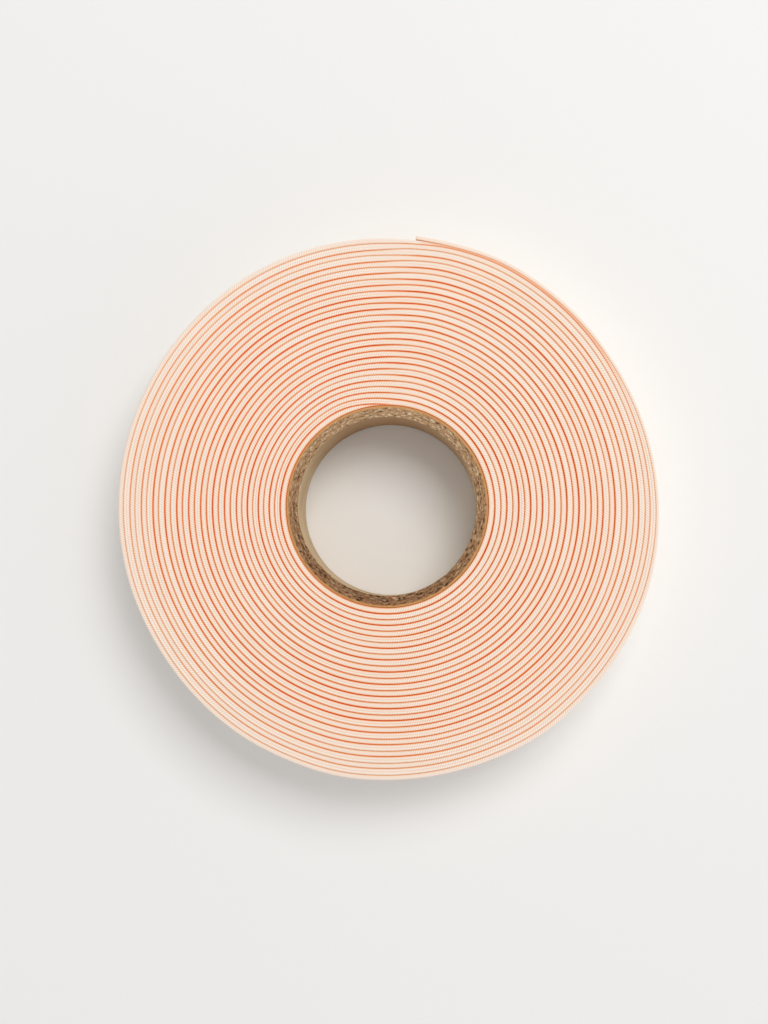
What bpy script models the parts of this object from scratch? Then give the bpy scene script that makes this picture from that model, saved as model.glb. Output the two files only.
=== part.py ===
"""Roll of woven elastic tape on a plain cardboard core, lying on its side.

Metres, +Z up.  The roll rests on the plane z = 0, with the middle of its outline on the
Z axis.  Angles are in degrees, anticlockwise from +X seen from above.
"""

import math

import bmesh
import bpy
from mathutils import Vector

# Core: a paper tube with a two-inch bore, a little shorter than the tape is wide.
CORE_BORE_RADIUS = 0.0254
CORE_WALL = 0.0033
CORE_HEIGHT = 0.0246
CORE_RIM_ROUNDING = 0.0003
CORE_CENTRE = Vector((-0.0003, 0.0, 0.0))
CORE_SEGMENTS = 72

# Tape: one length wound flat on itself, so its width is the height of the roll.
TAPE_WIDTH = 0.025
LAST_TURN_THICKNESS = 0.0012
SELVEDGE_ROUNDING = 0.0006

# Outline of the roll where all of the turns lie over each other.
FULL_RADIUS = 0.0783
OUTLINE_SEGMENTS = 180

# Places where the winding bulges out or sags in, each a soft hump around one angle.
HUMP_COLUMNS = ("angle_deg", "spread_deg", "rise")
HUMPS = (
    (20.0, 20.0, -0.00060),
    (40.0, 45.0, -0.00145),
    (68.0, 14.0, 0.00010),
    (122.0, 16.0, 0.00035),
    (165.0, 24.0, 0.00020),
    (212.0, 13.0, -0.00035),
    (240.0, 7.0, 0.00010),
    (260.0, 9.0, 0.00035),
    (303.0, 8.0, 0.00030),
)

# Loose end: the last stretch of the tape, which stands off the turn it presses into.
END_ANGLE = 84.0
END_SPAN = 13.0
END_LIFT = 0.0004
END_THICKNESS = 0.001
END_BED_DEPTH = 0.0004
END_SECTIONS = 10

# How the last turn climbs from the step at the loose end to the full radius.
CLIMB_START = 0.78
CLIMB_END = 0.95
CLIMB_SHARE = 0.8

CLEARANCE = 0.0003


def material(name, colour, roughness):
    """A Principled BSDF in one linear colour."""
    made = bpy.data.materials.new(name)
    made.use_nodes = True
    shader = made.node_tree.nodes["Principled BSDF"]
    shader.inputs["Base Color"].default_value = (*colour, 1.0)
    shader.inputs["Roughness"].default_value = roughness
    shader.inputs["Metallic"].default_value = 0.0
    made.diffuse_color = (*colour, 1.0)
    return made


def add_object(name, data, collection, finish):
    """A named object with its material, in the roll's collection."""
    made = bpy.data.objects.new(name, data)
    made.data.materials.append(finish)
    collection.objects.link(made)
    return made


def smooth_step(value, start, end):
    """0 before start, 1 after end, with a soft turn between them."""
    t = min(max((value - start) / (end - start), 0.0), 1.0)
    return t * t * (3.0 - 2.0 * t)


def full_radius(angle):
    """Outer radius over all of the turns, humps included."""
    radius = FULL_RADIUS
    for row in HUMPS:
        hump = dict(zip(HUMP_COLUMNS, row))
        apart = (angle - hump["angle_deg"] + 180.0) % 360.0 - 180.0
        radius += hump["rise"] * math.exp(-((apart / hump["spread_deg"]) ** 2))
    return radius


def last_turn_radius(angle):
    """Outer radius of the last turn, which climbs from the step at the loose end."""
    share = ((angle - END_ANGLE) % 360.0) / 360.0
    step = smooth_step(share, CLIMB_START, CLIMB_END)
    climbed = CLIMB_SHARE * step + (1.0 - CLIMB_SHARE) * share
    return full_radius(angle) - LAST_TURN_THICKNESS * (1.0 - climbed)


def bed_radius(angle):
    """Outer radius of the turn that the loose end presses into."""
    return full_radius(angle) - LAST_TURN_THICKNESS - END_BED_DEPTH


def spread(start, end, count):
    """Evenly spaced values from start to end."""
    return [start + (end - start) * step / count for step in range(count + 1)]


def on_circle(radius, angle, centre=(0.0, 0.0)):
    """A point at a radius and an angle around a centre."""
    turn = math.radians(angle)
    return (centre[0] + radius * math.cos(turn), centre[1] + radius * math.sin(turn))


def flat_outline(name, loops, width, rounding):
    """Closed loops filled as a flat shape, as thick as the tape is wide."""
    curve = bpy.data.curves.new(name, "CURVE")
    curve.dimensions = "2D"
    curve.fill_mode = "BOTH"
    curve.extrude = width / 2 - rounding
    curve.bevel_depth = rounding
    curve.bevel_resolution = 0
    curve.offset = -rounding
    for loop in loops:
        spline = curve.splines.new("POLY")
        spline.points.add(len(loop) - 1)
        for point, (x, y) in zip(spline.points, loop):
            point.co = (x, y, 0.0, 1.0)
        spline.use_cyclic_u = True
    return curve


def make_core(collection):
    """Cardboard tube: a turned wall with a softened rim at both ends."""
    outer = CORE_BORE_RADIUS + CORE_WALL
    profile = (
        (outer, CORE_HEIGHT),
        (outer, 0.0),
        (CORE_BORE_RADIUS, 0.0),
        (CORE_BORE_RADIUS, CORE_HEIGHT),
    )
    mesh = bpy.data.meshes.new("cardboard_core")
    shape = bmesh.new()
    corners = [shape.verts.new((radius, 0.0, height)) for radius, height in profile]
    for corner, following in zip(corners, corners[1:] + corners[:1]):
        shape.edges.new((corner, following))
    shape.to_mesh(mesh)
    shape.free()

    finish = material("kraft cardboard", (0.33, 0.21, 0.12), 0.9)
    core = add_object("cardboard_core", mesh, collection, finish)
    core.location = CORE_CENTRE
    turned = core.modifiers.new("turned", "SCREW")
    turned.steps = CORE_SEGMENTS
    turned.render_steps = CORE_SEGMENTS
    turned.use_merge_vertices = True
    turned.merge_threshold = 0.00001
    rim = core.modifiers.new("rim", "BEVEL")
    rim.width = CORE_RIM_ROUNDING
    rim.segments = 1
    rim.limit_method = "ANGLE"
    return core


def make_winding(collection):
    """The tight turns as one solid, with a bed a turn deep under the loose end."""
    bed_start = END_ANGLE - END_SPAN
    tight = spread(END_ANGLE, bed_start + 360.0, OUTLINE_SEGMENTS)
    bed = spread(bed_start, END_ANGLE, END_SECTIONS)
    outline = [on_circle(last_turn_radius(angle), angle) for angle in tight]
    outline += [on_circle(bed_radius(angle), angle) for angle in bed[:-1]]

    hole_radius = CORE_BORE_RADIUS + CORE_WALL + CLEARANCE
    around = spread(0.0, 360.0, CORE_SEGMENTS)
    hole = [on_circle(hole_radius, angle, CORE_CENTRE) for angle in around[:-1]]

    curve = flat_outline("wound_elastic", (outline, hole), TAPE_WIDTH, SELVEDGE_ROUNDING)
    finish = material("woven elastic", (0.86, 0.66, 0.49), 0.85)
    winding = add_object("wound_elastic", curve, collection, finish)
    winding.location = (0.0, 0.0, TAPE_WIDTH / 2)
    return winding


def make_loose_end(collection):
    """The end of the tape: a curved sheet that lifts towards its cut edge."""
    joint_gap = math.degrees(CLEARANCE / FULL_RADIUS)
    start = END_ANGLE - END_SPAN + joint_gap
    under = []
    over = []
    for angle in spread(start, END_ANGLE, END_SECTIONS):
        share = (angle - start) / (END_ANGLE - start)
        inner = bed_radius(angle) + CLEARANCE + END_LIFT * share * share
        under.append(on_circle(inner, angle))
        over.append(on_circle(inner + END_THICKNESS, angle))

    loop = under + over[::-1]
    curve = flat_outline("loose_end", (loop,), TAPE_WIDTH, SELVEDGE_ROUNDING / 2)
    finish = material("woven elastic end", (0.88, 0.70, 0.54), 0.85)
    end = add_object("loose_end", curve, collection, finish)
    end.location = (0.0, 0.0, TAPE_WIDTH / 2)
    return end


def main():
    for old in list(bpy.data.objects):
        bpy.data.objects.remove(old, do_unlink=True)
    collection = bpy.data.collections.new("elastic_roll")
    bpy.context.scene.collection.children.link(collection)
    make_core(collection)
    make_winding(collection)
    make_loose_end(collection)


main()
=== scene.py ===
import math

import bpy
import bmesh
from mathutils import Matrix, Vector, noise


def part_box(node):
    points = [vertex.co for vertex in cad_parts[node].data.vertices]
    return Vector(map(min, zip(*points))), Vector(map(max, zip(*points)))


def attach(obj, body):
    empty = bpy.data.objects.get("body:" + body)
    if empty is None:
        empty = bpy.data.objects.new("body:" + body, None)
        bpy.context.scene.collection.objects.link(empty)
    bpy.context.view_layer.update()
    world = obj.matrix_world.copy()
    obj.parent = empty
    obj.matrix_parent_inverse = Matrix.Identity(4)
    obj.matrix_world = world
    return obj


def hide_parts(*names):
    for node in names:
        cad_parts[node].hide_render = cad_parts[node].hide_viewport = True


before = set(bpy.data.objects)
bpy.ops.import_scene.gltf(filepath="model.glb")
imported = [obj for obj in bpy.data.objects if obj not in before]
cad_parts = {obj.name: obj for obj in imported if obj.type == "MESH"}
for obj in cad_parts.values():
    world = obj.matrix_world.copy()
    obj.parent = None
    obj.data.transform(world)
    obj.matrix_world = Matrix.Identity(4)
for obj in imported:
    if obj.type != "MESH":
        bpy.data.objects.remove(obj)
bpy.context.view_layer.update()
print("frame loaded")

mm = 0.001


def linear(hexColour):
    # sRGB hex to the linear values that shaders take
    channels = [int(hexColour[i:i + 2], 16) / 255 for i in (1, 3, 5)]
    return tuple(c / 12.92 if c <= 0.04045 else ((c + 0.055) / 1.055) ** 2.4 for c in channels)


def colour(hexColour):
    return (*linear(hexColour), 1.0)


def addNode(tree, kind, sockets=None, stops=None, **settings):
    # one node with its settings; a socket given as a value is set, one given as an output is linked
    node = tree.nodes.new(kind)
    for key, value in settings.items():
        setattr(node, key, value)
    for name, value in (sockets or {}).items():
        if isinstance(value, bpy.types.NodeSocket):
            tree.links.new(value, node.inputs[name])
        else:
            node.inputs[name].default_value = value
    if stops:
        ramp = node.color_ramp
        while len(ramp.elements) < len(stops):
            ramp.elements.new(0.5)
        for element, (place, shade) in zip(ramp.elements, stops):
            element.position = place
            element.color = colour(shade)
    return node


def newMaterial(name):
    material = bpy.data.materials.new(name)
    material.use_nodes = True
    material.node_tree.nodes.clear()
    return material, material.node_tree


def smoothStep(value, start, end):
    t = min(max((value - start) / (end - start), 0.0), 1.0)
    return t * t * (3.0 - 2.0 * t)


# camera: above the lower right of the roll, a few degrees off straight down

cameraView = {
    "place": (18.95 * mm, -19.74 * mm, 485.0 * mm),
    "lookAt": (-1.15 * mm, -1.64 * mm, 25.0 * mm),
    "upward": (0.0, 1.0, 0.0),  # +Y points up in the view
    "sensorHeight": 24.0,
    "lens": 38.1,
}


def makeCamera():
    data = bpy.data.cameras.new("rollCamera")
    data.sensor_fit = "VERTICAL"
    data.sensor_height = cameraView["sensorHeight"]
    data.lens = cameraView["lens"]
    data.clip_start = 0.01
    camera = bpy.data.objects.new("rollCamera", data)
    bpy.context.collection.objects.link(camera)
    place = Vector(cameraView["place"])
    forward = (Vector(cameraView["lookAt"]) - place).normalized()
    right = forward.cross(Vector(cameraView["upward"])).normalized()
    up = right.cross(forward)
    turn = Matrix((right, up, -forward)).transposed()
    camera.matrix_world = Matrix.Translation(place) @ turn.to_4x4()
    bpy.context.scene.camera = camera


makeCamera()
print("camera set")


# the tape: one ribbon wound flat on itself, from the core out to the loose end

tape = {
    "turns": 29,
    "endAngle": 84.0,  # degrees, anticlockwise from +X, where the cut end lies
    "fullRadius": 78.3 * mm,
    "lastTurn": 1.2 * mm,  # the last turn is wound slack and thin
    "stationStep": 2.2 * mm,
    "faceGap": 0.02 * mm,
    "coreGap": 0.08 * mm,
    "topLevel": 24.8 * mm,
    "bottomLevel": 0.05 * mm,
    "startTaper": 0.10,  # share of a turn over which the glued start thickens
    "climbStart": 0.78,
    "climbEnd": 0.95,
    "looseSpan": 13.0,
    "looseLift": 0.10 * mm,
    "bedDepth": 0.4 * mm,
    "bedTurns": 4.0,
    "pairing": 0.16,  # how much thicker every other turn lies, at the outside
    "pinch": 1.35 * mm,  # how far the turn under the loose end is pressed flat beside it
    "capLength": 0.12 * mm,
    "rippleSize": 0.16 * mm,  # slow unevenness of the winding
    "humpGrowth": 1.4,  # humps fade towards the core
    "waveHeight": 0.08 * mm,  # how unevenly the turns' edges stand
    "jitterHeight": 0.04 * mm,
    "leastThickness": 0.12 * mm,
    "lastThickness": 0.9 * mm,
    "startThickness": 0.25 * mm,
    "squeezeBelow": 1.2 * mm,
    "squeezeShade": 0.5,
}

# the grooves between turns and the crease along the middle of each edge; tones run from 0, cream, to 1,
# red; the orange and red are painted shade in the narrow gaps and creases, where the same tape is cream in
# the open
groove = {
    "closed": 0.30,
    "open": 0.46,  # how much wider the open one of a pair is
    "wander": 0.34,
    "fine": 0.14,
    "leastOpening": 0.08,
    "slackFrom": 0.62,  # outside this share of the turns the grooves close a little
    "slack": 0.5,
    "lastSlack": 0.3,
    "fade": 0.28,
    "fadeFrom": 0.58,
    "fadeTo": 0.98,
    "shallow": 0.05 * mm,
    "deep": 0.13 * mm,
    # painted groove shade: the least, and the extra for an open groove
    "tone": 0.50,
    "openGapShade": 0.54,
    "creaseDepth": 0.06 * mm,
    "creaseWidth": 0.32,
    "creaseShade": 0.34,
    "flushTone": 0.11,
    "wallTone": 0.06,
    "hiddenFaceShade": 0.9,
    "footRound": 0.4 * mm,
    "footShade": 0.6,
    "cutTone": 0.22,  # the cut end is as pale as the yarn inside
}

# soft humps and sags of the winding: angle, spread, rise at the outside
humps = (
    {"angle": 20.0, "spread": 20.0, "rise": -0.60 * mm},
    {"angle": 40.0, "spread": 45.0, "rise": -1.45 * mm},
    {"angle": 68.0, "spread": 14.0, "rise": 0.10 * mm},
    {"angle": 122.0, "spread": 16.0, "rise": 0.35 * mm},
    {"angle": 165.0, "spread": 24.0, "rise": 0.20 * mm},
    {"angle": 212.0, "spread": 13.0, "rise": -0.35 * mm},
    {"angle": 240.0, "spread": 7.0, "rise": 0.10 * mm},
    {"angle": 260.0, "spread": 9.0, "rise": 0.35 * mm},
    {"angle": 303.0, "spread": 8.0, "rise": 0.30 * mm},
)

# across the edge of the tape: place from the middle (0) to a face (1), and the groove's reach there
edgeSteps = ((1.0, 1.0), (0.88, 0.80), (0.72, 0.52), (0.54, 0.22), (0.34, 0.05), (0.15, 0.0))
wallShares = (0.80, 0.5, 0.2)  # heights up the face that show on the outside
footPlaces = (1.0, 0.72, 0.0, -0.72, -1.0)

coreLow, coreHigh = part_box("cardboard_core")
coreCentre = Vector(((coreLow[0] + coreHigh[0]) / 2, (coreLow[1] + coreHigh[1]) / 2))
coreRadius = (coreHigh[0] - coreLow[0]) / 2


def apart(angle, other):
    return (angle - other + 180.0) % 360.0 - 180.0


def coreSurface(angle):
    # distance from the roll's own centre to the core's outside
    turn = math.radians(angle)
    along = coreCentre.x * math.cos(turn) + coreCentre.y * math.sin(turn)
    across = coreCentre.x * math.sin(turn) - coreCentre.y * math.cos(turn)
    return along + math.sqrt(coreRadius ** 2 - across ** 2)


def humpRise(angle):
    return sum(h["rise"] * math.exp(-(apart(angle, h["angle"]) / h["spread"]) ** 2) for h in humps)


def layerRadius(angle, layers):
    # radius reached by a number of layers, which may be a part layer
    inner = coreSurface(angle) + tape["coreGap"]
    tight = tape["turns"] - 1
    share = min(max(layers, 0.0), tight) / tight
    turn = math.radians(angle)
    ripple = noise.noise(Vector((math.cos(turn) * 2.6, math.sin(turn) * 2.6, layers * 0.11)))
    reach = inner + (tape["fullRadius"] - tape["lastTurn"] - inner) * share
    reach += humpRise(angle) * share ** tape["humpGrowth"] + ripple * tape["rippleSize"] * share
    reach += tape["lastTurn"] * max(layers - tight, 0.0)
    before = apart(angle, tape["endAngle"])
    bed = smoothStep(before, -20.0, -8.0) * (1 - smoothStep(before, -3.0, 3.0))
    near = max(0.0, 1.0 - abs(layers - tight) / tape["bedTurns"])
    pressed = (1 - smoothStep(before, -10.0, 9.0)) * smoothStep(before, -120.0, -45.0)
    reach += tape["pinch"] * pressed * (share - smoothStep(layers, tight - 1.0, tight))
    return reach - tape["bedDepth"] * bed * near ** 1.5


def strongSide(windings):
    # 1 where the groove outside this turn is the open one of its pair, 0 where it is the closed one
    turn = math.floor(windings)
    swap = smoothStep(windings - turn, 0.0, 0.03)
    odd = turn % 2
    return odd * (1 - swap) + (1 - odd) * swap


def layersUnder(windings):
    # layers between the core and the inner face of the tape
    if windings < 1:
        return 0.0
    turn = math.floor(windings)
    share = windings - turn
    overStart = smoothStep(share, 0.0, tape["startTaper"])  # steps up over the tape's own start
    overEnd = smoothStep(share, tape["climbStart"], tape["climbEnd"])
    early = max(0.0, 1.0 - (turn - 1) / 8)
    late = 0.8 * (turn / tape["turns"]) ** 4
    layers = turn - 1 + early * overStart + late * overEnd + (1 - early - late) * share
    paired = tape["pairing"] * min(turn / tape["turns"], 1.0) ** 2
    return layers + paired * (0.5 - strongSide(windings - 1)) * (1 if turn < tape["turns"] else 0)


def gapOpening(windings):
    # how open the groove on the outer side of the tape is
    turn = math.floor(windings)
    angle = math.radians(360.0 * windings)
    wander = noise.noise(Vector((math.cos(angle) * 1.7 + turn * 5.3, math.sin(angle) * 1.7, turn * 2.9)))
    fine = noise.noise(Vector((windings * 23.0, turn * 3.1, 0.0)))
    slack = groove["slack"] * max(0.0, turn / tape["turns"] - groove["slackFrom"])
    slack += groove["lastSlack"] * smoothStep(turn, tape["turns"] - 6, tape["turns"] - 2)
    opening = groove["closed"] + groove["open"] * strongSide(windings)
    opening += groove["wander"] * wander + groove["fine"] * fine - slack
    return min(max(opening, groove["leastOpening"]), 1.0)


def fadeOutwards(turn):
    # the painted groove shade is paler over the outer third
    return 1.0 - groove["fade"] * smoothStep(turn / tape["turns"], groove["fadeFrom"], groove["fadeTo"])


def edgeSection(windings, lastPart):
    # the section's corners: place across the tape from -1 to 1, height, and how orange it shows
    turn = math.floor(windings)
    angle = math.radians(360.0 * windings)
    level = tape["topLevel"]
    wave = Vector((math.cos(angle) * 1.4, math.sin(angle) * 1.4, turn * 1.7))
    level += tape["waveHeight"] * noise.noise(wave)
    level += tape["jitterHeight"] * noise.noise(Vector((windings * 31.0, turn * 2.2, 4.0)))
    # painted shade: the crease along the middle of each edge is painted orange besides being cut in
    crease = 0.12 + 0.88 * (1 - strongSide(windings))
    crease *= 0.75 + 0.7 * noise.noise(Vector((windings * 3.0, turn * 7.7, 9.0)))
    flush = groove["flushTone"] * strongSide(windings)
    fade = fadeOutwards(turn)
    openings = {1: 0.6 if lastPart else gapOpening(windings), -1: gapOpening(windings - 1)}
    section = []

    def addSide(side, steps):
        opening = openings[side]
        for place, reach in steps:
            fold = crease * max(0.0, 1.0 - place / groove["creaseWidth"])
            depth = (groove["shallow"] + groove["deep"] * opening) * reach ** 1.6
            depth += groove["creaseDepth"] * fold
            # painted shade: the further into the groove and the wider it opens, the more orange the tape is
            # painted
            grooveShade = (groove["tone"] + groove["openGapShade"] * opening) * fade
            tone = flush + (grooveShade - flush) * reach ** 1.25 + groove["creaseShade"] * fold
            if lastPart and side > 0:
                tone = flush
                depth *= 2.5
            section.append((side * place * (1 - 0.04 * reach), level - depth, min(tone, 1.0)))

    addSide(-1, edgeSteps)
    section.append((0.0, level - groove["creaseDepth"] * crease, flush + groove["creaseShade"] * crease))
    addSide(1, edgeSteps[::-1])
    # painted shade: the faces pressed between turns are painted deep orange; the outer wall of the last
    # turn keeps the cream wall tone
    for share in wallShares:
        tone = groove["wallTone"] if lastPart else groove["hiddenFaceShade"]
        section.append((0.95, tape["topLevel"] * share, tone))
    # painted shade: the foot of each turn, where it meets the table, is painted orange towards the faces
    for place in footPlaces:
        fall = max(0.0, (abs(place) - 0.5) / 0.5) ** 2
        tone = groove["wallTone"] if lastPart and place > 0 else groove["footShade"] * fall
        section.append((place * 0.95, tape["bottomLevel"] + groove["footRound"] * fall, tone))
    section.append((-0.95, tape["topLevel"] * 0.5, groove["hiddenFaceShade"]))
    return section


def windStations():
    # places along the tape, an even step apart, counted in windings
    stations = []
    windings = 0.0
    while windings < tape["turns"]:
        stations.append(windings)
        reach = layerRadius(tape["endAngle"] + 360.0 * windings, layersUnder(windings) + 0.5)
        windings += tape["stationStep"] / (2 * math.pi * reach)
    stations.append(float(tape["turns"]))
    return stations


def makeTape():
    turns = tape["turns"]
    stations = windStations()
    verts, tones, flatPlaces = [], [], []
    length = 0.0
    lastMiddle = None
    for windings in stations:
        angle = tape["endAngle"] + 360.0 * windings
        lastPart = windings > turns - 1
        inner = layerRadius(angle, layersUnder(windings))
        outer = layerRadius(angle, layersUnder(min(windings + 1, turns + 0.9999)))
        if lastPart:
            outer = inner + max(outer - inner, tape["lastThickness"])
        if windings < tape["startTaper"]:
            outer = inner + max(outer - inner, tape["startThickness"])
        loose = smoothStep(windings, turns - tape["looseSpan"] / 360, turns)
        lift = tape["looseLift"] * loose * loose
        thick = max(outer - inner - tape["faceGap"], tape["leastThickness"])
        # painted shade: a thin stretch, with grooves close on both sides, is painted with more of the
        # groove orange; nothing presses on the last turn, so it gets none
        squeeze = tape["squeezeShade"] * max(0.0, 1.0 - thick / tape["squeezeBelow"])
        squeezedShade = 0.0 if lastPart else squeeze
        middle = (inner + outer) / 2 + lift
        turnAngle = math.radians(angle)
        outward = Vector((math.cos(turnAngle), math.sin(turnAngle), 0.0))
        if lastMiddle is not None:
            length += (outward * middle - lastMiddle).length
        lastMiddle = outward * middle

        path = 0.0
        before = None
        for place, z, tone in edgeSection(windings, lastPart):
            spot = Vector((place * thick / 2, z))
            path += 0.0 if before is None else (spot - before).length
            before = spot
            point = outward * (middle + place * thick / 2)
            verts.append((point.x, point.y, z))
            tones.append(min(tone + squeezedShade, 1.0))
            flatPlaces.append((length, path))

    # the cut end: one more, smaller section just past the last
    count = len(edgeSection(0.0, False))
    last = [Vector(corner) for corner in verts[-count:]]
    heart = sum(last, Vector()) / count
    onward = Vector((-outward.y, outward.x, 0.0)) * tape["capLength"]
    for corner, (along, path) in zip(last, flatPlaces[-count:]):
        inside = heart + (corner - heart) * 0.96
        verts.append(tuple(inside + onward))
        tones.append(groove["cutTone"])
        flatPlaces.append((along + tape["capLength"], path))

    faces = []
    for station in range(len(stations)):
        low = station * count
        high = low + count
        faces += [(low + i, low + (i + 1) % count, high + (i + 1) % count, high + i) for i in range(count)]
    faces.append(tuple(range(count)))
    faces.append(tuple(reversed(range(len(verts) - count, len(verts)))))

    mesh = bpy.data.meshes.new("elasticTape")
    mesh.from_pydata(verts, [], faces)
    # the tape's cream tone, rising towards 1 with painted groove shade
    tone = mesh.attributes.new("tapeToneAndGapShade", "FLOAT", "POINT")
    tone.data.foreach_set("value", tones)
    uv = mesh.uv_layers.new(name="tapeUv")
    for loop in mesh.loops:
        uv.data[loop.index].uv = flatPlaces[loop.vertex_index]
    mesh.validate()
    obj = bpy.data.objects.new("elasticTape", mesh)
    bpy.context.collection.objects.link(obj)

    shape = bmesh.new()
    shape.from_mesh(mesh)
    bmesh.ops.recalc_face_normals(shape, faces=shape.faces)
    shape.to_mesh(mesh)
    shape.free()
    mesh.shade_smooth()
    print("tape wound:", round(length, 3), "m,", len(stations), "stations,", 2 * len(faces), "triangles")
    return obj, length


# woven elastic: rubber cords under a cover of pale polyester yarn, matt, with fine slanted weft ribs
elasticFinish = {
    "crest": "#FEF9F3",
    "band": "#FEEEE2",
    "flank": "#FECCA6",
    "groove": "#FF9656",
    "deep": "#F0440F",
    "ribShade": "#F5EADF",
    "weftPitch": 0.70 * mm,  # about three real weft yarns drawn as one, so that the slanted ribs show
    "weftSlant": 0.5,
    "faceTop": 24.1 * mm,  # below this the flat face shows, with straight weft over lengthwise cords
    "faceBlend": 0.4 * mm,
    "cordPitch": 1.6 * mm,
    "bumpDepth": 0.05 * mm,
}


def makeElastic():
    material, tree = newMaterial("wovenElastic")
    output = addNode(tree, "ShaderNodeOutputMaterial")
    shader = addNode(tree, "ShaderNodeBsdfPrincipled", {
        "Roughness": 0.85, "Sheen Weight": 0.12, "Sheen Roughness": 0.5, "IOR": 1.4})
    tree.links.new(shader.outputs["BSDF"], output.inputs["Surface"])
    uv = addNode(tree, "ShaderNodeUVMap", uv_map="tapeUv")
    tone = addNode(tree, "ShaderNodeAttribute", attribute_name="tapeToneAndGapShade")
    split = addNode(tree, "ShaderNodeSeparateXYZ", {"Vector": uv.outputs["UV"]})
    place = addNode(tree, "ShaderNodeTexCoord")
    height = addNode(tree, "ShaderNodeSeparateXYZ", {"Vector": place.outputs["Object"]})
    onEdge = addNode(tree, "ShaderNodeMapRange", {
        "Value": height.outputs["Z"], "From Min": elasticFinish["faceTop"],
        "From Max": elasticFinish["faceTop"] + elasticFinish["faceBlend"],
        "To Max": elasticFinish["weftSlant"]})
    across = addNode(tree, "ShaderNodeMath", {0: split.outputs["Y"], 1: onEdge.outputs[0]},
                     operation="MULTIPLY")
    slanted = addNode(tree, "ShaderNodeMath", {0: split.outputs["X"], 1: across.outputs[0]},
                      operation="ADD")
    weftTurns = 2 * math.pi / elasticFinish["weftPitch"]
    phase = addNode(tree, "ShaderNodeMath", {0: slanted.outputs[0], 1: weftTurns}, operation="MULTIPLY")
    weft = addNode(tree, "ShaderNodeMath", {0: phase.outputs[0]}, operation="SINE")
    mottle = addNode(tree, "ShaderNodeTexNoise", {"Scale": 900.0, "Detail": 4.0,
                                                  "Vector": uv.outputs["UV"]})
    patch = addNode(tree, "ShaderNodeTexNoise", {"Scale": 60.0, "Detail": 3.0, "Vector": uv.outputs["UV"]})

    # the flank, groove and deep colours are painted shade of the gaps, creases, hidden faces and feet,
    # orange where the same tape is cream in the open
    shade = addNode(tree, "ShaderNodeValToRGB", {"Fac": tone.outputs["Fac"]}, stops=(
        (0.0, elasticFinish["crest"]), (0.12, elasticFinish["band"]), (0.36, elasticFinish["flank"]),
        (0.64, elasticFinish["groove"]), (1.0, elasticFinish["deep"])))
    ribPlace = addNode(tree, "ShaderNodeMapRange", {"Value": weft.outputs[0], "From Min": -1.0})
    ribs = addNode(tree, "ShaderNodeValToRGB", {"Fac": ribPlace.outputs[0]}, stops=(
        (0.1, elasticFinish["ribShade"]), (0.9, "#FFFFFF")))
    ribbed = addNode(tree, "ShaderNodeMix", {0: 1.0, 6: shade.outputs["Color"], 7: ribs.outputs["Color"]},
                     data_type="RGBA", blend_type="MULTIPLY")
    patchLight = addNode(tree, "ShaderNodeMapRange", {"Value": patch.outputs["Fac"], "From Min": 0.3,
                                                      "From Max": 0.7, "To Min": 0.965, "To Max": 1.0})
    tinted = addNode(tree, "ShaderNodeMix", {0: 1.0, 6: ribbed.outputs[2], 7: patchLight.outputs[0]},
                     data_type="RGBA", blend_type="MULTIPLY")
    tree.links.new(tinted.outputs[2], shader.inputs["Base Color"])

    cordTurns = 2 * math.pi / elasticFinish["cordPitch"]
    cordPhase = addNode(tree, "ShaderNodeMath", {0: height.outputs["Z"], 1: cordTurns},
                        operation="MULTIPLY")
    cords = addNode(tree, "ShaderNodeMath", {0: cordPhase.outputs[0]}, operation="SINE")
    cordRelief = addNode(tree, "ShaderNodeMapRange", {"Value": onEdge.outputs[0], "From Max": 0.1,
                                                      "To Min": 1.0, "To Max": 0.0})
    cordHeight = addNode(tree, "ShaderNodeMath", {0: cords.outputs[0], 1: cordRelief.outputs[0]},
                         operation="MULTIPLY")
    woven = addNode(tree, "ShaderNodeMath", {0: weft.outputs[0], 1: cordHeight.outputs[0]},
                    operation="ADD")
    relief = addNode(tree, "ShaderNodeMath", {0: woven.outputs[0], 1: mottle.outputs["Fac"]},
                     operation="ADD")
    bump = addNode(tree, "ShaderNodeBump", {"Height": relief.outputs[0], "Strength": 0.45,
                                            "Distance": elasticFinish["bumpDepth"]})
    tree.links.new(bump.outputs["Normal"], shader.inputs["Normal"])
    return material


elasticTape, tapeLength = makeTape()
elasticTape.data.materials.append(makeElastic())
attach(elasticTape, "root")
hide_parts("wound_elastic", "loose_end")
print("tape finished")


# the core: a spiral-wound kraft tube, sawn off rough at its ends

core = {
    "around": 560,
    "wallSteps": 18,
    "boreSteps": 12,
    "underSteps": 4,
    "outsideSteps": 6,
    "wall": 3.3 * mm,
    "height": coreHigh[2],
    "roughness": 0.11 * mm,
    "tornAngle": 266.0,  # the cut face's fibres are torn deeper towards this side, and its colour is darker and redder there
    "splitPlace": 0.36,  # share of the wall, from the bore, where two plies part
    "splitDepth": 0.40 * mm,
    "splitWidth": 0.20 * mm,
}

# nicks on the rim of the bore: angle, half width in degrees, how far across the wall, how deep
nicks = (
    {"angle": 56.0, "spread": 2.2, "across": 0.8 * mm, "drop": 0.45 * mm},
    {"angle": 2.0, "spread": 1.6, "across": 0.5 * mm, "drop": 0.5 * mm},
    {"angle": 312.0, "spread": 2.6, "across": 0.6 * mm, "drop": 0.4 * mm},
    {"angle": 205.0, "spread": 2.0, "across": 0.5 * mm, "drop": 0.3 * mm},
    {"angle": 118.0, "spread": 1.5, "across": 0.4 * mm, "drop": 0.25 * mm},
)


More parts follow.
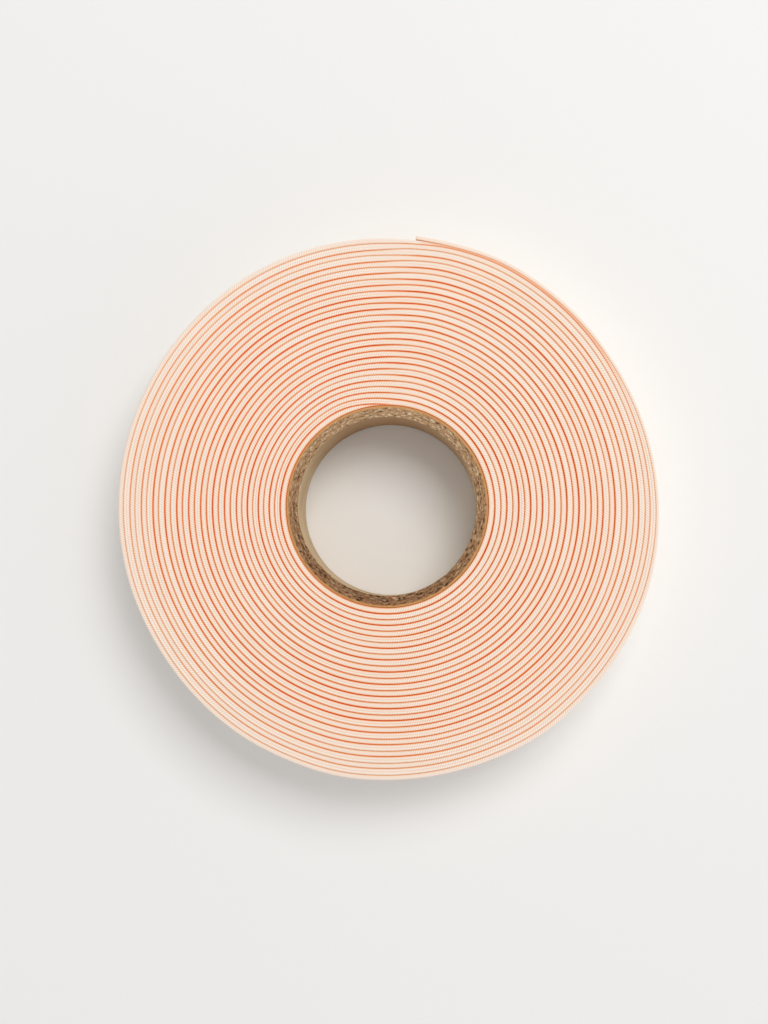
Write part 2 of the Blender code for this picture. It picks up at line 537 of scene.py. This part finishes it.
def makeCore():
    centre = (coreCentre.x, coreCentre.y, 0.0)
    bpy.ops.object.select_all(action="DESELECT")
    outer = coreRadius
    bpy.ops.mesh.primitive_circle_add(vertices=core["around"], radius=outer, fill_type="NOTHING",
                                      location=(centre[0], centre[1], core["height"]))
    obj = bpy.context.object
    obj.name = "coreTube"
    bpy.ops.object.mode_set(mode="EDIT")
    bpy.ops.mesh.select_all(action="SELECT")
    radius = outer
    # inwards over the cut face, down the bore, outwards under the wall and up the outside
    wallSteps, underSteps = core["wallSteps"], core["underSteps"]
    steps = [("ring", outer - core["wall"] * i / wallSteps) for i in range(1, wallSteps + 1)]
    steps += [("drop", -core["height"] / core["boreSteps"])] * core["boreSteps"]
    steps += [("ring", outer - core["wall"] * i / underSteps) for i in reversed(range(underSteps))]
    steps += [("drop", core["height"] / core["outsideSteps"])] * core["outsideSteps"]
    for kind, value in steps:
        bpy.ops.mesh.extrude_edges_move()
        if kind == "ring":
            scale = value / radius
            bpy.ops.transform.resize(value=(scale, scale, 1.0), center_override=centre)
            radius = value
        else:
            bpy.ops.transform.translate(value=(0.0, 0.0, value))
    bpy.ops.mesh.select_all(action="SELECT")
    bpy.ops.mesh.remove_doubles(threshold=0.00002)
    bpy.ops.mesh.normals_make_consistent(inside=False)
    bpy.ops.object.mode_set(mode="OBJECT")
    bpy.ops.object.transform_apply(location=True, rotation=True, scale=True)

    # the saw leaves torn fibres on the cut face, a split between two plies and nicks on the rim of the bore
    mesh = obj.data
    top = core["height"]
    rough = core["roughness"]
    inner = outer - core["wall"]
    darkerCutAndSplitShares = []
    for vert in mesh.vertices:
        flat = Vector((vert.co.x - centre[0], vert.co.y - centre[1]))
        reach = flat.length
        turn = math.atan2(flat.y, flat.x)
        around = Vector((math.cos(turn), math.sin(turn), 0.0))
        grain = noise.fractal(around * 26 + Vector((0.0, 0.0, reach / mm * 2.4)), 0.7, 2.1, 5)
        lump = noise.noise(around * 5 + Vector((0.0, 0.0, 3.0)))
        tornSide = 0.5 + 0.5 * math.cos(turn - math.radians(core["tornAngle"])) + 0.3 * lump
        drift = core["splitPlace"] + 0.07 * noise.noise(around * 7 + Vector((0.0, 0.0, 11.0)))
        fromSplit = (reach - inner - core["wall"] * drift) / core["splitWidth"]
        openness = smoothStep(tornSide, 0.30, 0.75) * (0.65 + 0.9 * noise.noise(around * 11))
        split = math.exp(-fromSplit ** 2) * max(openness, 0.0)
        bite = 0.0
        for nick in nicks:
            beside = apart(math.degrees(turn), nick["angle"]) / nick["spread"]
            onWall = 1 - smoothStep(reach, inner, inner + nick["across"])
            bite += nick["drop"] * math.exp(-beside ** 2) * onWall
        if vert.co.z > top - 0.01 * mm:
            edge = 1.0 - 0.7 * smoothStep(reach, outer - 0.25 * mm, outer)
            vert.co.z += rough * (0.8 + 0.9 * max(tornSide, 0.0)) * (grain * 1.2 - 0.6) * edge
            vert.co.z += 0.06 * mm * lump - core["splitDepth"] * split - bite
        cut = smoothStep(vert.co.z, top - 1.2 * mm, top - 0.2 * mm)
        rim = 1 - smoothStep(reach, inner, inner + 0.5 * mm)
        chip = noise.noise(around * 13 + Vector((0.0, 0.0, 7.0)))
        push = cut * rim * (0.10 * mm * chip + 0.05 * mm * grain + 0.5 * bite)
        vert.co.x += around.x * push
        vert.co.y += around.y * push
        # painted shade: the split between two plies is painted darker; the colour also darkens towards the
        # tornAngle side
        darkerCutAndSplitShares.append(min(max(0.45 * tornSide + 0.8 * split, 0.0), 1.0))
    darkerCutAndSplitShade = mesh.attributes.new("darkerCutAndSplitShade", "FLOAT", "POINT")
    darkerCutAndSplitShade.data.foreach_set("value", darkerCutAndSplitShares)

    uv = mesh.uv_layers.active or mesh.uv_layers.new(name="coreUv")
    uv.name = "coreUv"
    for poly in mesh.polygons:
        middle = poly.center
        turnMiddle = math.atan2(middle.y - centre[1], middle.x - centre[0])
        for loopIndex in poly.loop_indices:
            co = mesh.vertices[mesh.loops[loopIndex].vertex_index].co
            turn = math.atan2(co.y - centre[1], co.x - centre[0])
            if turn - turnMiddle > math.pi:
                turn -= 2 * math.pi
            if turn - turnMiddle < -math.pi:
                turn += 2 * math.pi
            reach = math.hypot(co.x - centre[0], co.y - centre[1])
            uv.data[loopIndex].uv = (turn * outer, reach + co.z)
    mesh.shade_smooth()
    return obj


# kraft board: brown recycled plies, smooth on the faces and torn to grey-brown fibres where cut
boardFinish = {
    "face": "#DAC4A0",
    "faceShade": "#C2A580",
    "cut": "#AC8861",
    "cutDark": "#4E341F",
    "cutPale": "#DCC8AA",
    "darkerCutTint": "#C08A58",
    # painted shade of the bore wall that faces away from the key light
    "shadedWallBrown": "#A98460",
    "rim": "#CF955C",
    "fibreWidth": 0.42 * mm,
    "fibreDrawn": 0.28,  # fibres lie round the tube: their pattern is drawn out along it
    "fleckWidth": 0.20 * mm,
}


def makeBoard():
    material, tree = newMaterial("kraftBoard")
    output = addNode(tree, "ShaderNodeOutputMaterial")
    shader = addNode(tree, "ShaderNodeBsdfPrincipled", {"Roughness": 0.88, "IOR": 1.45})
    tree.links.new(shader.outputs["BSDF"], output.inputs["Surface"])
    place = addNode(tree, "ShaderNodeTexCoord")
    uv = addNode(tree, "ShaderNodeUVMap", uv_map="coreUv")
    split = addNode(tree, "ShaderNodeSeparateXYZ", {"Vector": place.outputs["Object"]})
    drawn = addNode(tree, "ShaderNodeMapping", {"Vector": uv.outputs["UV"],
                                                "Scale": (boardFinish["fibreDrawn"], 1.0, 1.0)})
    fibres = addNode(tree, "ShaderNodeTexNoise", {
        "Vector": drawn.outputs[0], "Detail": 4.0, "Roughness": 0.7,
        "Scale": 1 / boardFinish["fleckWidth"]})
    clumps = addNode(tree, "ShaderNodeTexNoise", {
        "Vector": drawn.outputs[0], "Detail": 5.0, "Roughness": 0.62, "Distortion": 0.6,
        "Scale": 1 / boardFinish["fibreWidth"]})
    wide = addNode(tree, "ShaderNodeTexNoise", {
        "Vector": place.outputs["Object"], "Scale": 70.0, "Detail": 3.0})
    darkerCutAndSplitShade = addNode(tree, "ShaderNodeAttribute", attribute_name="darkerCutAndSplitShade")
    darker = addNode(tree, "ShaderNodeMath", {0: darkerCutAndSplitShade.outputs["Fac"], 1: 0.12}, operation="MULTIPLY")
    clumpTone = addNode(tree, "ShaderNodeMath", {0: clumps.outputs["Fac"], 1: darker.outputs[0]},
                        operation="SUBTRACT")
    cutColour = addNode(tree, "ShaderNodeValToRGB", {"Fac": clumpTone.outputs[0]}, stops=(
        (0.35, boardFinish["cutDark"]), (0.45, boardFinish["cut"]), (0.53, boardFinish["cut"]),
        (0.63, boardFinish["cutPale"])))
    fleck = addNode(tree, "ShaderNodeMapRange", {
        "Value": fibres.outputs["Fac"], "From Min": 0.38, "From Max": 0.62, "To Min": 0.74, "To Max": 1.16})
    cutLit = addNode(tree, "ShaderNodeMix", {0: 1.0, 6: cutColour.outputs["Color"], 7: fleck.outputs[0]},
                     data_type="RGBA", blend_type="MULTIPLY")
    # the cut is redder and darker towards the tornAngle side, and painted darker as shade in the split
    # between two plies
    cutDarkened = addNode(tree, "ShaderNodeMix", {0: darkerCutAndSplitShade.outputs["Fac"], 6: cutLit.outputs[2],
                                              7: colour(boardFinish["darkerCutTint"])},
                      data_type="RGBA", blend_type="MULTIPLY")
    facePaper = addNode(tree, "ShaderNodeValToRGB", {"Fac": wide.outputs["Fac"]}, stops=(
        (0.3, boardFinish["faceShade"]), (0.65, boardFinish["face"])))
    # painted shade: the bore wall on the +Y side, which faces away from the key light, is painted a darker
    # brown
    onShadedWall = addNode(tree, "ShaderNodeMapRange", {"Value": split.outputs["Y"], "From Min": 8 * mm,
                                                   "From Max": 24 * mm, "To Max": 0.85})
    faceColour = addNode(tree, "ShaderNodeMix", {0: onShadedWall.outputs[0], 6: facePaper.outputs["Color"],
                                                 7: colour(boardFinish["shadedWallBrown"])}, data_type="RGBA")
    faceFleck = addNode(tree, "ShaderNodeMapRange", {"Value": fibres.outputs["Fac"], "From Min": 0.3,
                                                     "From Max": 0.7, "To Min": 0.93, "To Max": 1.03})
    faceLit = addNode(tree, "ShaderNodeMix", {0: 1.0, 6: faceColour.outputs[2], 7: faceFleck.outputs[0]},
                      data_type="RGBA", blend_type="MULTIPLY")
    # the outermost ply is a thin band of smooth tan paper, seen edge on
    down = addNode(tree, "ShaderNodeSeparateXYZ", {"Vector": uv.outputs["UV"]})
    rimPlace = coreRadius + core["height"]
    onRim = addNode(tree, "ShaderNodeMapRange", {
        "Value": down.outputs["Y"], "From Min": rimPlace - 0.85 * mm, "From Max": rimPlace - 0.45 * mm})
    rimmed = addNode(tree, "ShaderNodeMix", {0: onRim.outputs[0], 6: cutDarkened.outputs[2],
                                             7: colour(boardFinish["rim"])}, data_type="RGBA")
    onCut = addNode(tree, "ShaderNodeMapRange", {"Value": split.outputs["Z"],
                                                 "From Min": core["height"] - 0.55 * mm,
                                                 "From Max": core["height"] - 0.25 * mm})
    mixed = addNode(tree, "ShaderNodeMix", {
        0: onCut.outputs[0], 6: faceLit.outputs[2], 7: rimmed.outputs[2]}, data_type="RGBA")
    tree.links.new(mixed.outputs[2], shader.inputs["Base Color"])
    bump = addNode(tree, "ShaderNodeBump", {"Height": clumps.outputs["Fac"], "Strength": 0.6,
                                            "Distance": 0.15 * mm})
    tree.links.new(bump.outputs["Normal"], shader.inputs["Normal"])
    return material


coreTube = makeCore()
coreTube.data.materials.append(makeBoard())
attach(coreTube, "root")
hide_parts("cardboard_core")
print("core finished")


# floor and light: a white table, a soft key from the upper right and an even fill

studio = {
    "floorSize": 6.0,
    "floor": "#F0F0EF",
    "fill": "#FFFFFF",
    "fillLow": 0.90,  # the walls of the studio give more of the fill than its ceiling
    "fillHigh": 0.52,
    "fillLowRise": 0.12,
    "fillHighRise": 0.70,
    "fillAngle": -55.0,  # the fill is stronger from this side
    "fillUneven": 0.22,
    "keyAngle": 56.0,
    "keyHeight": 58.0,
    "keyDistance": 2.4,
    "keySize": 1.3,
    "keyPower": 29.5,
    "keyColour": "#FFFDFA",
}


def makeFloor():
    bpy.ops.object.select_all(action="DESELECT")
    bpy.ops.mesh.primitive_plane_add(size=studio["floorSize"], location=(0.0, 0.0, 0.0))
    floor = bpy.context.object
    floor.name = "tableTop"
    material, tree = newMaterial("whiteLaminate")
    output = addNode(tree, "ShaderNodeOutputMaterial")
    shader = addNode(tree, "ShaderNodeBsdfPrincipled", {
        "Base Color": colour(studio["floor"]), "Roughness": 0.6})
    tree.links.new(shader.outputs["BSDF"], output.inputs["Surface"])
    floor.data.materials.append(material)


def makeLight():
    world = bpy.data.worlds.new("studioFill")
    world.use_nodes = True
    background = world.node_tree.nodes["Background"]
    background.inputs["Color"].default_value = colour(studio["fill"])
    tree = world.node_tree
    place = addNode(tree, "ShaderNodeTexCoord")
    split = addNode(tree, "ShaderNodeSeparateXYZ", {"Vector": place.outputs["Generated"]})
    rising = addNode(tree, "ShaderNodeMapRange", {
        "Value": split.outputs["Z"], "From Min": studio["fillLowRise"], "From Max": studio["fillHighRise"],
        "To Min": studio["fillLow"], "To Max": studio["fillHigh"]}, interpolation_type="SMOOTHSTEP")
    side = math.radians(studio["fillAngle"])
    towards = addNode(tree, "ShaderNodeVectorMath", {
        0: place.outputs["Generated"], 1: (math.cos(side), math.sin(side), 0.0)}, operation="DOT_PRODUCT")
    uneven = addNode(tree, "ShaderNodeMapRange", {
        "Value": towards.outputs["Value"], "From Min": -1.0, "To Min": 1 - studio["fillUneven"],
        "To Max": 1 + studio["fillUneven"]})
    strength = addNode(tree, "ShaderNodeMath", {0: rising.outputs[0], 1: uneven.outputs[0]},
                       operation="MULTIPLY")
    tree.links.new(strength.outputs[0], background.inputs["Strength"])
    bpy.context.scene.world = world

    data = bpy.data.lights.new("keyLight", "AREA")
    data.shape = "SQUARE"
    data.size = studio["keySize"]
    data.energy = studio["keyPower"]
    data.color = linear(studio["keyColour"])
    key = bpy.data.objects.new("keyLight", data)
    bpy.context.collection.objects.link(key)
    turn = math.radians(studio["keyAngle"])
    rise = math.radians(studio["keyHeight"])
    toLight = Vector((math.cos(turn) * math.cos(rise), math.sin(turn) * math.cos(rise), math.sin(rise)))
    key.location = toLight * studio["keyDistance"]
    key.rotation_euler = toLight.to_track_quat("Z", "Y").to_euler()


makeFloor()
makeLight()
bpy.context.scene.view_settings.view_transform = "Standard"
print("studio set")
